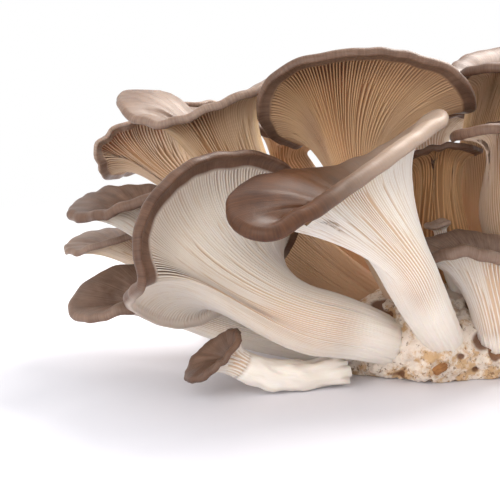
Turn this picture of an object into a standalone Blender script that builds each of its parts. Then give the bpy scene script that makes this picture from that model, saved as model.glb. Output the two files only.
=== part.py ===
"""Oyster mushroom cluster: many fan-shaped mushrooms that grow from one clump of mycelium.

Each mushroom is one solid, because its cap, gills and stem are one flesh. Its shape is a loft: rings
climb the stem, spread out under the cap as far as the gill edges, turn round the thick margin and come
back over the top of the cap. The stem ends where it enters the clump. Run it in Blender 4.5.
"""

import math
from dataclasses import dataclass

import bmesh
import bpy
import numpy as np
from mathutils import Matrix, Vector, noise

MM = 0.001
JOINT_GAP = 0.3  # mm, between pieces that touch

# How finely the lofts are cut
COLUMNS = 16
STEM_RINGS = 3
UNDERSIDE_RINGS = 4
MARGIN_RINGS = 2

# Degrees round the rolled margin, from its underside, that its rings cover
MARGIN_START = -70
MARGIN_TURN = 160

# Where the cap's top starts above the hub, in parts of the hub's radius
TOP_RISE = 0.55
TOP_INSET = 0.75

# Under the cap: how far the way out follows the margin's bearing rather than even steps, and over how
# many hub radii it turns flat
BEARING_PART = 0.6
SETTLED_SPAN = 3

# A fan's margin: its points, the waves round it, and how far they widen it
FAN_POINTS = 12
FAN_WAVES = 3
SIDE_WAVE = 0.6
START_CLIMB = 0.8  # how steeply its stem starts, in parts of its end's climb

# The clump that the stems grow from
CLUMP_CENTRE = (26, 16, 11)
CLUMP_RADII = (58, 43, 25)
CLUMP_TURN = 24  # degrees about +Z
CLUMP_LUMP = 5.0  # how far its lumps rise
CLUMP_LUMP_SIZE = 24
CLUMP_SEGMENTS = 26
CLUMP_RINGS = 14

# The flakes of wood
CHIP_TILT = 35  # degrees
CHIP_BUMP = 0.35
CHIP_LIFT = 0.6  # mm that a flake's middle stands out of the clump

UP = np.array([0.0, 0.0, 1.0])


@dataclass
class Mushroom:
    """Sizes in mm. root, bend and hub steer the stem, and margin is the cap's edge, point by point."""

    name: str
    root: tuple
    bend: tuple
    hub: tuple
    margin: list
    root_radius: float = 7.0
    hub_radius: float = 8.5
    bead: float = 2.3  # radius of the rolled margin
    flesh: float = 3.4  # thickness of the cap at its margin
    flare_start: float = 0.40  # how long the underside follows the stem
    flare_end: float = 0.35  # how long it runs flat before the margin
    columns: int = COLUMNS


def spreading(
    name, root, turn, climb, length, reach, side, back, cup, tilt, ripple=2.0, **more
):
    """A mushroom that leans out of the clump towards turn, its fan set on the stem's end.

    turn, climb and tilt are degrees: the way it leans, how steeply its stem ends, and how far the
    cap's face tips from upright towards turn. reach, side and back are the cap's radii.
    """
    out = np.array([math.cos(math.radians(turn)), math.sin(math.radians(turn)), 0.0])
    across = np.cross(UP, out)
    rise = math.radians(climb)
    along = out * math.cos(rise) + UP * math.sin(rise)
    start = out * math.cos(rise * START_CLIMB) + UP * math.sin(rise * START_CLIMB)
    bend = np.array(root) + start * length * 0.5
    hub = bend + along * length * 0.5
    tip = math.radians(tilt)
    face = UP * math.cos(tip) + out * math.sin(tip)
    forward = out * math.cos(tip) - UP * math.sin(tip)
    margin = []
    for k in range(FAN_POINTS):
        a = 2 * math.pi * k / FAN_POINTS
        ahead = reach if math.cos(a) > 0 else back
        wave = ripple * math.sin(FAN_WAVES * a + turn)
        margin.append(
            hub
            + forward * ahead * math.cos(a)
            + across * (side + SIDE_WAVE * wave) * math.sin(a)
            + face * (cup + wave)
        )
    return Mushroom(name, root, tuple(bend), tuple(hub), margin, **more)


def young(name, root, turn, climb, length):
    """A young mushroom with a small round head that hasn't opened into a fan yet."""
    return spreading(
        name,
        root,
        turn,
        climb,
        length,
        reach=5.5,
        side=5.0,
        back=4.5,
        cup=2.5,
        tilt=12,
        ripple=0.3,
        root_radius=3.2,
        hub_radius=2.8,
        bead=1.3,
        flesh=2.4,
        columns=10,
    )


MUSHROOMS = [
    Mushroom(
        "large_front_fan",
        root=(2, -8, 10),
        bend=(-12, -34, 23),
        hub=(-34, -43, 29),
        margin=[
            (-99, -88, 55),
            (-101, -84, 69),
            (-96, -74, 82),
            (-82, -58, 93),
            (-65, -44, 95),
            (-49, -34, 89),
            (-42, -24, 76),
            (-46, -16, 56),
            (-63, -20, 37),
            (-82, -28, 27),
            (-98, -42, 31),
            (-106, -62, 41),
            (-103, -78, 48),
        ],
        root_radius=9.0,
        hub_radius=13.5,
        bead=3.0,
    ),
    Mushroom(
        "front_trumpet",
        root=(22, -15, 12),
        bend=(11, -40, 30),
        hub=(1, -50, 50),
        margin=[
            (-64, -91, 75),
            (-55, -97, 73),
            (-43, -93, 78),
            (-28, -83, 86),
            (-14, -70, 94),
            (1, -54, 102),
            (13, -38, 108),
            (13, -24, 108),
            (2, -14, 99),
            (-14, -20, 90),
            (-31, -32, 87),
            (-47, -46, 87),
            (-60, -62, 86),
            (-67, -78, 81),
        ],
        root_radius=8.0,
        hub_radius=11.0,
        bead=3.0,
    ),
    Mushroom(
        "upper_left_fan",
        root=(2, 12, 20),
        bend=(-36, 11, 43),
        hub=(-50, 8, 58),
        margin=[
            (-114, -8, 111),
            (-106, -18, 106),
            (-94, -24, 105),
            (-77, -24, 111),
            (-61, -18, 117),
            (-50, -4, 121),
            (-51, 22, 118),
            (-69, 42, 108),
            (-93, 46, 105),
            (-105, 34, 113),
            (-114, 12, 114),
        ],
        root_radius=9.0,
        hub_radius=14.0,
        bead=2.0,
    ),
    Mushroom(
        "thin_back_left_fan",
        root=(-8, 27, 18),
        bend=(-40, 40, 42),
        hub=(-84, 50, 68),
        margin=[
            (-128, 36, 82),
            (-128, 36, 91),
            (-121, 38, 98),
            (-108, 44, 103),
            (-94, 52, 107),
            (-78, 62, 108),
            (-70, 78, 102),
            (-82, 88, 92),
            (-100, 82, 82),
            (-116, 62, 76),
            (-125, 46, 76),
        ],
        bead=1.4,
        flesh=2.4,
    ),
    Mushroom(
        "left_shelf",
        root=(-6, 2, 12.5),
        bend=(-44, 2, 24),
        hub=(-87, -6, 51),
        margin=[
            (-133, -22, 68),
            (-123, -34, 69),
            (-110, -42, 74),
            (-96, -44, 79),
            (-84, -34, 77),
            (-80, -10, 72),
            (-88, 12, 71),
            (-105, 18, 73),
            (-122, 12, 73),
            (-132, -4, 70),
        ],
        bead=2.4,
    ),
    Mushroom(
        "small_left_shelf",
        root=(-8, 17, 9),
        bend=(-52, 20, 22),
        hub=(-99, 24, 39),
        margin=[
            (-141, 18, 46),
            (-133, 8, 48),
            (-122, 4, 52),
            (-111, 5, 55),
            (-100, 12, 55),
            (-95, 28, 52),
            (-104, 44, 51),
            (-120, 50, 50),
            (-135, 44, 49),
            (-141, 32, 47),
        ],
        root_radius=6.0,
        hub_radius=6.0,
        bead=1.7,
        flesh=2.6,
    ),
    Mushroom(
        "low_left_scoop",
        root=(-6, -9, 9),
        bend=(-44, -16, 10),
        hub=(-84, -8, 23),
        margin=[
            (-134, -24, 28),
            (-127, -31, 27),
            (-115, -34, 30),
            (-102, -31, 32),
            (-89, -26, 33),
            (-80, -16, 32),
            (-80, -2, 34),
            (-91, 10, 36),
            (-104, 12, 40),
            (-119, 4, 40),
            (-131, -10, 35),
        ],
        root_radius=6.0,
        hub_radius=6.5,
        bead=2.0,
        flesh=3.0,
    ),
    Mushroom(
        "low_front_hook",
        root=(-23, -31, 7),
        bend=(-52, -43, 4),
        hub=(-65, -47, 13),
        margin=[
            (-65, -50, 25),
            (-68, -43, 25),
            (-75, -40, 20),
            (-82, -41, 14),
            (-85, -46, 9),
            (-84, -53, 8),
            (-79, -59, 10),
            (-72, -60, 16),
            (-66, -57, 22),
        ],
        root_radius=6.0,
        hub_radius=6.0,
        bead=1.5,
        flesh=2.4,
    ),
    Mushroom(
        "right_front_shelf",
        root=(46, -8, 10),
        bend=(44, -14, 18),
        hub=(42, -17, 26),
        margin=[
            (5, -20, 52),
            (8, -30, 50),
            (14, -36, 53),
            (23, -38, 56),
            (33, -38, 54),
            (46, -36, 51),
            (60, -28, 51),
            (66, -16, 52),
            (58, -7, 53),
            (40, -5, 55),
            (27, -5, 57),
            (14, -8, 54),
        ],
        root_radius=10.0,
        hub_radius=11.0,
        bead=2.6,
    ),
    Mushroom(
        "upper_right_funnel",
        root=(54, 14, 16),
        bend=(56, 17, 44),
        hub=(52, 12, 64),
        margin=[
            (20, -34, 101),
            (26, -44, 104),
            (35, -48, 105),
            (51, -46, 106),
            (68, -34, 105),
            (81, -10, 105),
            (80, 10, 104),
            (64, 16, 103),
            (47, 8, 102),
            (32, -12, 101),
        ],
        root_radius=10.5,
        hub_radius=14.0,
    ),
    Mushroom(
        "top_right_funnel",
        root=(46, 34, 20),
        bend=(43, 45, 52),
        hub=(45, 44, 86),
        margin=[
            (26, 20, 120),
            (32, 2, 125),
            (46, -6, 127),
            (64, 0, 126),
            (83, 20, 120),
            (90, 46, 121),
            (84, 68, 127),
            (62, 76, 131),
            (40, 62, 128),
            (28, 40, 122),
        ],
        root_radius=9.0,
        hub_radius=12.0,
    ),
    Mushroom(
        "top_centre_fan",
        root=(16, 2, 16),
        bend=(-2, -12, 42),
        hub=(-14, -2, 74),
        margin=[
            (-41, 0, 95),
            (-53, -14, 102),
            (-56, -24, 116),
            (-47, -30, 127),
            (-26, -32, 133),
            (-2, -30, 133),
            (19, -24, 126),
            (30, -10, 113),
            (28, 12, 108),
            (13, 32, 108),
            (-7, 36, 110),
            (-23, 27, 107),
            (-34, 13, 99),
        ],
        root_radius=8.5,
        hub_radius=9.5,
    ),
    Mushroom(
        "inner_centre_fan",
        root=(27, 18, 22),
        bend=(25, 19, 36),
        hub=(23, 20, 46),
        margin=[
            (3, 16, 84),
            (9, 5, 90),
            (20, 0, 94),
            (32, 4, 93),
            (38, 16, 90),
            (33, 29, 88),
            (19, 34, 86),
            (7, 28, 84),
        ],
        root_radius=10.0,
        hub_radius=14.0,
        bead=1.4,
        flesh=2.4,
    ),
    spreading("inner_back_fan", (10, 28, 21), 157, 52, 82, 21, 15, 16, 14, -6),
    spreading("front_right_fan", (60, -4, 10), -48, 42, 60, 38, 27, 16, 14, 30),
    spreading("large_right_fan", (66, 18, 14), -10, 38, 48, 34, 27, 18, 14, 34),
    spreading("low_right_fan", (71, 5, 9.5), -26, 12, 40, 28, 20, 12, 9, 24),
    spreading("right_back_fan", (66, 34, 12), 30, 32, 48, 34, 24, 16, 12, 30),
    spreading("upper_back_right_fan", (60, 40, 18), 42, 61, 72, 28, 28, 18, 14, 22),
    spreading("low_back_right_fan", (55, 46, 9.5), 60, 11, 28, 24, 22, 12, 9, 22),
    spreading("back_fan", (42, 43, 14), 80, 42, 31, 24, 25, 16, 12, 24),
    spreading("low_back_fan", (23, 42, 9.5), 110, 12, 28, 24, 18, 12, 9, 22),
    spreading("upper_back_fan", (25, 35, 22), 97, 69, 73, 26, 25, 16, 12, 14, hub_radius=10.5),
    spreading("back_left_fan", (7, 35, 13), 131, 33, 48, 32, 24, 13, 12, 28),
    spreading("low_back_left_fan", (-7, 38, 9), 154, 12, 42, 28, 20, 12, 9, 22),
    young("young_centre", (32, 1, 24), 184, 78, 37),
    young("young_front", (58, -20, 10), -80, 52, 17),
    young("young_right", (76, 24, 9), 8, 32, 15),
]

# Flakes of wood: degrees round and up the clump, and their half sizes
CHIPS = {
    "wood_chip_front": (242, -6, (4.6, 2.6, 1.9)),
    "wood_chip_front_right": (272, -8, (3.6, 2.0, 1.6)),
    "wood_chip_right": (12, -12, (4.2, 2.4, 1.7)),
    "wood_chip_back": (62, -4, (4.0, 2.2, 1.6)),
}


def unit(v):
    return v / np.maximum(np.linalg.norm(v, axis=-1, keepdims=True), 1e-9)


def closed_curve(points, count, fine=24):
    """count points, evenly spaced, on the smooth closed curve through the given ones."""
    p = np.array(points, float)
    t = np.linspace(0, 1, fine, endpoint=False)[:, None]
    before, after, beyond = np.roll(p, 1, 0), np.roll(p, -1, 0), np.roll(p, -2, 0)
    spans = [
        0.5
        * (
            2 * p[k]
            + (after[k] - before[k]) * t
            + (2 * before[k] - 5 * p[k] + 4 * after[k] - beyond[k]) * t**2
            + (3 * p[k] - before[k] - 3 * after[k] + beyond[k]) * t**3
        )
        for k in range(len(p))
    ]
    dense = np.concatenate([*spans, p[:1]])
    run = np.concatenate([[0], np.cumsum(np.linalg.norm(np.diff(dense, axis=0), axis=1))])
    at = np.linspace(0, run[-1], count, endpoint=False)
    return np.stack([np.interp(at, run, dense[:, axis]) for axis in range(3)], 1)


def turned(vectors, start, end):
    """The vectors after the least turn that carries direction start to direction end."""
    axis = np.cross(start, end)
    cosine = float(start @ end)
    crossed = np.cross(axis, vectors)
    return vectors + crossed + np.cross(axis, crossed) / (1 + cosine)


def cap_frame(m):
    """The margin's points, the cap's facing direction, and the ring of directions round the stem's end."""
    hub, heading = np.array(m.hub, float), unit(np.array(m.hub, float) - m.bend)
    edge = closed_curve(m.margin, m.columns)
    face = unit(np.cross(edge, np.roll(edge, -1, 0)).sum(0))
    if face @ heading < 0:
        edge, face = np.roll(edge[::-1], 1, 0), -face
    ahead = edge.mean(0) - hub
    ahead = unit(ahead - face * (ahead @ face))
    across = np.cross(face, ahead)
    middle = edge.mean(0)
    bearing = np.unwrap(np.arctan2((edge - middle) @ across, (edge - middle) @ ahead))
    even = bearing[0] + np.arange(m.columns) * 2 * math.pi / m.columns
    even += (bearing - even).mean()
    angle = (BEARING_PART * bearing + (1 - BEARING_PART) * even)[:, None]
    flat = np.cos(angle) * ahead + np.sin(angle) * across
    return edge, face, turned(flat, face, heading)


def stem_rings(m, spokes, count):
    """Rings of the stem from its root to just below the hub."""
    root, bend, hub = (np.array(p, float) for p in (m.root, m.bend, m.hub))
    heading = unit(hub - bend)
    rings = []
    for t in np.linspace(0, 1, count, endpoint=False):
        centre = (1 - t) ** 2 * root + 2 * t * (1 - t) * bend + t**2 * hub
        along = unit((1 - t) * (bend - root) + t * (hub - bend))
        radius = m.root_radius + (m.hub_radius - m.root_radius) * t
        rings.append(centre + radius * turned(spokes, heading, along))
    return rings


def underside(m, edge, face, spokes, shares):
    """Rings under the cap from the hub to the margin, and the directions in which they arrive there."""
    hub, heading = np.array(m.hub, float), unit(np.array(m.hub, float) - m.bend)
    start = hub + m.hub_radius * spokes
    tangent = unit(np.roll(edge, -1, 0) - np.roll(edge, 1, 0))
    outward = unit(np.cross(tangent, face))
    span = np.linalg.norm(edge - start, axis=1, keepdims=True)
    settled = np.clip(span / (SETTLED_SPAN * m.hub_radius), 0, 1)
    arrive = unit(outward * settled + unit(edge - start) * (1 - settled))
    near = start + heading * span * m.flare_start
    far = edge - arrive * span * m.flare_end
    rings = [
        (1 - s) ** 3 * start + 3 * s * (1 - s) ** 2 * near + 3 * s**2 * (1 - s) * far + s**3 * edge
        for s in shares
    ]
    return np.array(rings), arrive


def to_top(m, spokes, lift, share):
    """From the underside to the top: into the hub's middle there, and square to the cap at the margin."""
    heading = unit(np.array(m.hub, float) - m.bend)
    outer = share * share * (3 - 2 * share)
    inner = (heading * TOP_RISE - spokes * TOP_INSET) * m.hub_radius
    return inner * (1 - outer) + lift * m.flesh * outer


def mushroom_rings(m):
    """All the rings of the loft, root first, and the point that closes the top."""
    edge, face, spokes = cap_frame(m)
    shares = np.linspace(0, 1, UNDERSIDE_RINGS + 1)
    under, arrive = underside(m, edge, face, spokes, shares)
    lift = unit(np.cross(arrive, unit(np.roll(edge, -1, 0) - np.roll(edge, 1, 0))))
    rings = [*stem_rings(m, spokes, STEM_RINGS), *under]
    middle = edge + lift * (m.flesh - m.bead)
    for k in range(MARGIN_RINGS):
        a = math.radians(MARGIN_START + MARGIN_TURN * k / MARGIN_RINGS)
        rings.append(middle + m.bead * (arrive * math.cos(a) + lift * math.sin(a)))
    for share, ring in zip(shares[::-1], under[::-1], strict=True):
        rings.append(ring + to_top(m, spokes, lift, share))
    heading = unit(np.array(m.hub, float) - m.bend)
    return rings, np.array(m.hub, float) + heading * TOP_RISE * m.hub_radius


def loft(name, rings, last_point):
    """A closed mesh object through the rings, capped flat at the first and by a point at the last."""
    shell = bmesh.new()
    rows = [[shell.verts.new(Vector(p) * MM) for p in ring] for ring in rings]
    for low, high in zip(rows, rows[1:]):
        for k, corner in enumerate(low):
            after = (k + 1) % len(low)
            shell.faces.new((corner, low[after], high[after], high[k]))
    shell.faces.new(rows[0][::-1])
    tip = shell.verts.new(Vector(last_point) * MM)
    for k, corner in enumerate(rows[-1]):
        shell.faces.new((corner, rows[-1][(k + 1) % len(rows[-1])], tip))
    bmesh.ops.triangulate(shell, faces=shell.faces)
    mesh = bpy.data.meshes.new(name)
    shell.to_mesh(mesh)
    shell.free()
    return bpy.data.objects.new(name, mesh)


def clump_point(way, grown=0.0):
    """Where the clump's surface lies in direction way from its centre, in mm."""
    turn = Matrix.Rotation(math.radians(CLUMP_TURN), 3, "Z")
    spot = turn @ Vector(w * r for w, r in zip(way, CLUMP_RADII, strict=True))
    lump = CLUMP_LUMP * noise.noise(spot / CLUMP_LUMP_SIZE)
    return spot + turn @ way * (lump + grown) + Vector(CLUMP_CENTRE)


def clump(name, grown=0.0):
    """The lumpy mound of mycelium, cut flat underneath. grown makes it larger all round, as a cutter."""
    bpy.ops.mesh.primitive_uv_sphere_add(
        segments=CLUMP_SEGMENTS, ring_count=CLUMP_RINGS, radius=1
    )
    made = bpy.context.object
    made.name = name
    solid = bmesh.new()
    solid.from_mesh(made.data)
    bmesh.ops.triangulate(solid, faces=solid.faces, quad_method="FIXED")
    for corner in solid.verts:
        corner.co = clump_point(corner.co.normalized(), grown) * MM
    everything = solid.verts[:] + solid.edges[:] + solid.faces[:]
    floor = (0, 0, -grown * MM)
    cut = bmesh.ops.bisect_plane(
        solid, geom=everything, plane_co=floor, plane_no=(0, 0, 1), clear_inner=True
    )
    rim = [e for e in cut["geom_cut"] if isinstance(e, bmesh.types.BMEdge)]
    bmesh.ops.contextual_create(solid, geom=rim)
    solid.to_mesh(made.data)
    solid.free()
    return made


def chip(name, around, up, size):
    """A flake of the wood that the cluster fed on, half sunk in the clump. around and up are degrees."""
    a, e = math.radians(around), math.radians(up)
    way = Vector((math.cos(e) * math.cos(a), math.cos(e) * math.sin(a), math.sin(e)))
    bpy.ops.mesh.primitive_ico_sphere_add(subdivisions=1, radius=1)
    made = bpy.context.object
    made.name = name
    tip = Matrix.Rotation(a, 3, "Z") @ Matrix.Rotation(math.radians(CHIP_TILT), 3, "X")
    for corner in made.data.vertices:
        bump = 1 + CHIP_BUMP * noise.noise(corner.co * 2 + Vector((around, up, 0)))
        flake = Vector(c * s * bump for c, s in zip(corner.co, size, strict=True))
        corner.co = (clump_point(way, CHIP_LIFT) + tip @ flake) * MM
    return made


def material(name, colour, roughness=0.6):
    made = bpy.data.materials.new(name)
    made.use_nodes = True
    shader = made.node_tree.nodes["Principled BSDF"]
    shader.inputs["Base Color"].default_value = (*colour, 1)
    shader.inputs["Roughness"].default_value = roughness
    shader.inputs["Metallic"].default_value = 0
    return made


def into(group, piece):
    for held in list(piece.users_collection):
        held.objects.unlink(piece)
    group.objects.link(piece)


def main():
    for old in list(bpy.data.objects):
        bpy.data.objects.remove(old)
    parts = bpy.data.collections.new("oyster_mushroom_cluster")
    cutters = bpy.data.collections.new("cutters")
    for group in (parts, cutters):
        bpy.context.scene.collection.children.link(group)
    flesh = material("mushroom_flesh", (0.62, 0.53, 0.43))
    mycelium = material("mycelium", (0.78, 0.68, 0.52), 0.9)
    wood = material("wood_chips", (0.55, 0.27, 0.10), 0.8)

    cutter = clump("clump_cutter", JOINT_GAP)
    made = [(clump("mycelium_clump"), mycelium)]
    made += [(chip(name, *place), wood) for name, place in CHIPS.items()]
    made += [(loft(m.name, *mushroom_rings(m)), flesh) for m in MUSHROOMS]
    for piece, finish in made:
        piece.data.materials.append(finish)
        piece.data.shade_smooth()
        into(parts, piece)
    into(cutters, cutter)
    cutter.hide_render = True
    cutter.display_type = "WIRE"
    for piece, _ in made[1:]:
        trim = piece.modifiers.new("ends_at_clump", "BOOLEAN")
        trim.object = cutter
        trim.solver = "EXACT"


main()
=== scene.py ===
"""Oyster mushroom cluster: the looks of the mushrooms, the clump they grow from and the stage.

It is laid out as an add-on, and runs as a script. The cluster's places and sizes are in millimetres along
the frame's axes, and turn to metres where a mesh is made. The lights and the floor are in metres.
"""

import math
from dataclasses import dataclass

import bpy
import numpy as np
from mathutils import Matrix, Vector, noise
from mathutils.bvhtree import BVHTree


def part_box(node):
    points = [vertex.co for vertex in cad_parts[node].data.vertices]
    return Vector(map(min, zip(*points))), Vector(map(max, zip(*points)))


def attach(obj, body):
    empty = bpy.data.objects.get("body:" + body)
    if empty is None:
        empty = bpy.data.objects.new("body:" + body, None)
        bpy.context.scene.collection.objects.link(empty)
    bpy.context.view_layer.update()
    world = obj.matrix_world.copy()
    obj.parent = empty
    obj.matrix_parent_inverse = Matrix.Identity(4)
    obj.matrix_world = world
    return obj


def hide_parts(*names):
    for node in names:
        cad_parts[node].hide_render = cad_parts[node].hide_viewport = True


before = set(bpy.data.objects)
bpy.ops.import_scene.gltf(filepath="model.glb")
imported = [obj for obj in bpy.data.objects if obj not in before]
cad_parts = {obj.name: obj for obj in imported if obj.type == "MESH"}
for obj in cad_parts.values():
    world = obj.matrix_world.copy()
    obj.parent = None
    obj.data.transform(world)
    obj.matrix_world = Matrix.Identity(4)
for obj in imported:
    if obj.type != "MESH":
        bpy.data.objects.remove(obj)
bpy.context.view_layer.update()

bl_info = {
    "name": "Oyster Mushroom Cluster",
    "version": (1, 0, 0),
    "blender": (4, 5, 0),
    "location": "3D View > Sidebar > Mushrooms",
    "description": "Makes a cluster of oyster mushrooms with real gills, on its clump of mycelium",
    "category": "Object",
}

MM = 0.001
BODY = "root"
FACTS = ("stem", "groove", "skin", "rim")  # what each point of a skin says of itself, 0 to 1
UP = np.array([0.0, 0.0, 1.0])

# Rings from the stem's root to the top of the cap
PLAIN_STEM_RINGS = 12
GILLED_STEM_RINGS = 8
GILL_RINGS = 24
RIM_RINGS = 8
TOP_RINGS = 15
RING_POINTS = 768  # round each smooth ring, before the gills are cut into it

# Shares of the way from the hub to the margin
GILLS_OPEN = 0.88  # where the gills' last rings start, closer together
GILL_END = 0.94  # where the gills stop
GILL_STEP = 0.012
SHORT_GILL_STARTS = (0.15, 0.65)  # every second gill starts somewhere between these
SHORT_GILL_RISE = 0.14
RIM_SHADE_AND_TINT = (0.62, 0.95)  # where the margin's darkening starts, and where it is full: painted shade on the gills under the margin, and the skin's darker margin

# Half-widths of a gill's edge and of its foot, in gills, at the hub and out on the cap
EDGE_HALF = (0.34, 0.14)
FOOT_HALF = (0.62, 0.28)
HUB_DEPTH = 0.22  # how deep the gills are at the hub, in parts of their full depth
WORN_EDGE = 0.12  # how far the gills' edges differ, in parts of their depth

# The stem: creases in parts of the root's radius, and lumps in mm
STEM_CREASE = 0.06
ROOT_SWELL = 1.4
FUZZ_SWELL = 1.7

# The rolled margin, in degrees from straight out
ROLL_START = -70
ROLL_TURN = 160

# Where the cap's top starts above the hub, in parts of the hub's radius
TOP_RISE = 0.55
TOP_INSET = 0.75

# In parts of the cap's flesh: the least there is under the top, and the deepest a gap between gills goes
LEAST_FLESH = 0.80
DEEPEST_GAP = 0.74

# The clump, as the frame's solid has it
CLUMP_CENTRE = (26, 16, 11)
CLUMP_RADII = (58, 43, 25)
CLUMP_TURN = 24
CLUMP_LUMP = 5.0
CLUMP_LUMP_SIZE = 24

# The camera, in mm and degrees
LENS = 100
SENSOR = 36
CAMERA_RISE = 10
CAMERA_AIM = (-61.2, -35, 56.9)
CAMERA_DISTANCE = 555.6

# Lights and floor, in the frame's metres
KEY_PLACE, KEY_SIZE, KEY_TINT = (0.30, 0.35, 0.62), 0.5, (1.0, 0.97, 0.93)
FILL_PLACE, FILL_SIZE = (-0.45, -0.75, 0.35), 0.9
LIT_POINT = (0.0, 0.0, 0.06)
FLOOR_HALF = 3.0
FLOOR_DROP = 0.0002
# painted light: distances in metres over which the floor grows paler, then glows white though it is no
# lamp
FLOOR_PALES = (0.16, 0.42)
FLOOR_GLOWS = (0.14, 0.55)

WHITE = (1.0, 1.0, 1.0)
FAR_FLOOR = (0.95, 0.95, 0.95)
TIP_FADE = 45  # mm along X over which the skin turns pale
PALE_SKIN = (0.78, 0.66, 0.56)
PALE_TIP = (0.80, 0.66, 0.54)
# the brown that gills in shade are painted towards
GILL_SHADE_BROWN = (0.42, 0.28, 0.19)
# painted shade in the clump's pits and hollows
PIT_SHADE = (0.19, 0.075, 0.03)


@dataclass
class Mushroom:
    """Sizes in mm. root, bend and hub steer the stem, and margin is the cap's edge, point by point."""

    name: str
    root: tuple
    bend: tuple
    hub: tuple
    margin: list
    root_radius: float = 7.0
    hub_radius: float = 8.5
    bead: float = 2.3  # radius of the rolled margin
    flesh: float = 3.4  # thickness of the cap at its margin
    gill_spacing: float = 1.45
    warmth: float = 0.0  # how far the flesh is painted with the glow of light shining through it
    pallor: float = 0.0  # how pale the skin is; below 0 it darkens the skin instead, as painted shade
    pale_from: float = 200.0  # place on X beyond which the skin turns pale
    tan: float = 0.0  # how far the gills are darkened to brown, as painted shade
    bare_below: float = 0.0  # height under which the gills reach the very edge
    fuzz: float = 0.0  # how much mycelium the stem wears
    gills_on_stem: float = 0.45  # share of the stem above which the gills run down it
    wave: float = 0.7  # how far the margin ripples
    flare_start: float = 0.40  # how far the underside keeps the stem's direction, in parts of its width
    flare_end: float = 0.35  # how far it keeps the margin's direction


def spreading(name, root, turn, climb, length, reach, side, back, cup, tilt, ripple=2.0, **more):
    """A mushroom that leans out of the clump towards turn, its fan set on the stem's end."""
    out = np.array([math.cos(math.radians(turn)), math.sin(math.radians(turn)), 0.0])
    across = np.cross(UP, out)
    rise = math.radians(climb)
    along = out * math.cos(rise) + UP * math.sin(rise)
    start = out * math.cos(rise * 0.8) + UP * math.sin(rise * 0.8)
    bend = np.array(root) + start * length * 0.5
    hub = bend + along * length * 0.5
    tip = math.radians(tilt)
    face = UP * math.cos(tip) + out * math.sin(tip)
    forward = out * math.cos(tip) - UP * math.sin(tip)
    margin = []
    for k in range(12):
        a = 2 * math.pi * k / 12
        ahead = reach if math.cos(a) > 0 else back
        wave = ripple * math.sin(3 * a + turn)
        margin.append(
            hub
            + forward * ahead * math.cos(a)
            + across * (side + 0.6 * wave) * math.sin(a)
            + face * (cup + wave)
        )
    return Mushroom(name, root, tuple(bend), tuple(hub), margin, **more)


def young(name, root, turn, climb, length):
    """A young mushroom with a small round head that hasn't opened into a fan yet."""
    return spreading(
        name,
        root,
        turn,
        climb,
        length,
        reach=5.5,
        side=5.0,
        back=4.5,
        cup=2.5,
        tilt=12,
        ripple=0.3,
        root_radius=3.2,
        hub_radius=2.8,
        bead=1.3,
        flesh=2.4,
        gill_spacing=0.9,
        pallor=1.0,
        wave=0.2,
    )


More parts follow.
